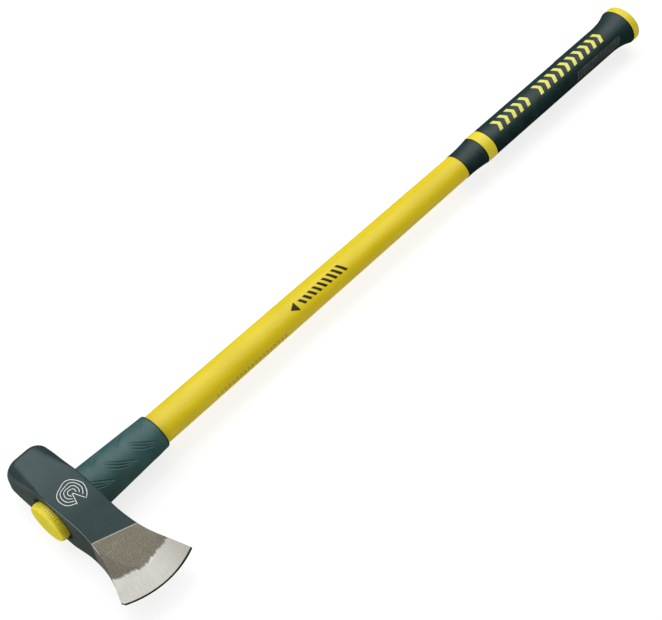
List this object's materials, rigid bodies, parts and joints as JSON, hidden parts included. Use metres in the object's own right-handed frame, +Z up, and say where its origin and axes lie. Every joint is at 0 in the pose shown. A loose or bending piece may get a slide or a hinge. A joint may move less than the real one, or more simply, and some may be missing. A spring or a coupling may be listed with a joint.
{
  "type": "splitting maul",
  "caption": "Long-handled splitting maul: forged wedge head with a flared ground edge and hammer poll, on an oval jacketed handle with an overstrike collar and a flared rubber grip.",
  "frame": {"origin": "on the ground under the middle of the eye, at the centre of the lower cheek's flat", "axes": "+X from the poll to the cutting edge, +Y from the head along the handle to the butt, +Z up, across the cheeks"},
  "size_m": [0.2075, 0.9143, 0.056],
  "materials": {
    "head_paint": "satin dark green-grey enamel; bare ground steel behind the edge",
    "yellow_plastic": "satin moulded yellow",
    "mark_yellow": "matt yellow thermoplastic rubber",
    "collar_rubber": "satin teal-green thermoplastic rubber",
    "grip_rubber": "satin near-black green thermoplastic rubber",
    "core_composite": "pultruded glass fibre and resin",
    "epoxy_resin": "cast amber epoxy",
    "dam_rubber": "soft black rubber"
  },
  "bodies": {
    "root": {"head_forging": "head_paint", "eye_cap": "yellow_plastic", "epoxy_fill": "epoxy_resin", "resin_dam": "dam_rubber", "fibreglass_core": "core_composite", "shaft_jacket": "yellow_plastic", "overstrike_collar": "collar_rubber", "grip_front_cuff": "grip_rubber", "grip_band": "yellow_plastic", "grip_sleeve": "grip_rubber", "butt_cap": "yellow_plastic", "grip_mark_01": "mark_yellow", "grip_mark_02": "mark_yellow", "grip_mark_03": "mark_yellow", "grip_mark_04": "mark_yellow", "grip_mark_05": "mark_yellow", "grip_mark_06": "mark_yellow", "grip_mark_07": "mark_yellow", "grip_mark_08": "mark_yellow", "grip_mark_09": "mark_yellow", "grip_mark_10": "mark_yellow", "grip_mark_11": "mark_yellow", "grip_mark_12": "mark_yellow", "grip_mark_13": "mark_yellow", "grip_mark_14": "mark_yellow", "grip_mark_15": "mark_yellow"}
  },
  "joints": []
}
